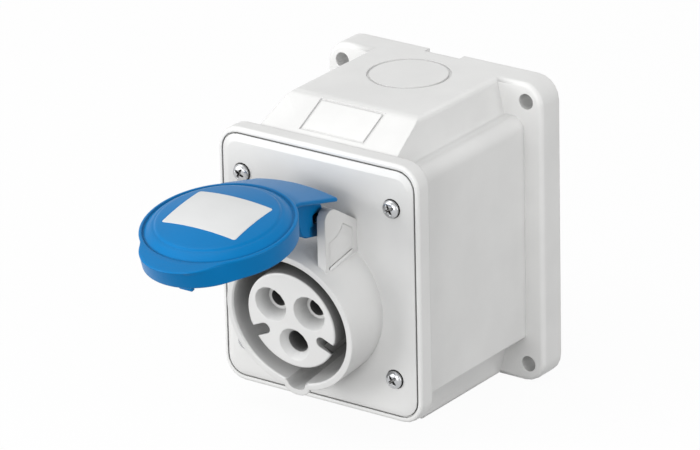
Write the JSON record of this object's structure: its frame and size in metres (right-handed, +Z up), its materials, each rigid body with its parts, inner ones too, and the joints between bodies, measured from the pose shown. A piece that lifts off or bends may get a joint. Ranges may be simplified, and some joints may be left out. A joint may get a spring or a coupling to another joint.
{
  "type": "industrial wall socket",
  "caption": "Surface-mounted industrial socket outlet: grey box with wall flange, screwed cover with a tilted round shroud, contact insert, and a blue hinged lid held open.",
  "frame": {"origin": "centre of the flange's flat back face, which meets the wall", "axes": "+Y into the wall, -Y out of the wall towards the user, +Z up, +X right as seen from the front"},
  "size_m": [0.0866, 0.1619, 0.1072],
  "materials": {
    "box_plastic": "light grey moulded polyamide, fine satin texture",
    "cover_plastic": "light grey moulded polyamide, satin",
    "carrier_plastic": "pale grey moulded plastic, fine matte texture",
    "lid_plastic": "blue moulded plastic, satin gloss",
    "seal_rubber": "black moulded rubber",
    "screw_steel": "bright zinc-plated steel",
    "contact_brass": "turned brass",
    "label_film": "white film label, bare"
  },
  "bodies": {
    "housing": {"back_box": "box_plastic", "cover_housing": "cover_plastic", "cover_gasket": "seal_rubber", "cover_screw_1": "screw_steel", "cover_screw_2": "screw_steel", "cover_screw_3": "screw_steel", "cover_screw_4": "screw_steel", "contact_carrier": "carrier_plastic", "carrier_back": "carrier_plastic", "carrier_screw_left": "screw_steel", "carrier_screw_right": "screw_steel", "contact_line": "contact_brass", "contact_neutral": "contact_brass", "contact_earth": "contact_brass", "terminal_screw_line": "screw_steel", "terminal_screw_neutral": "screw_steel", "terminal_screw_earth": "screw_steel", "hinge_pin": "screw_steel"},
    "lid": {"lid": "lid_plastic", "lid_seal": "seal_rubber", "lid_label": "label_film"}
  },
  "joints": [
    {"name": "lid_hinge", "type": "hinge", "parent": "housing", "child": "lid", "pos_m": [0, -0.0918, 0.0275], "axis": [1, 0, 0], "range_deg": [-8, 88]}
  ]
}
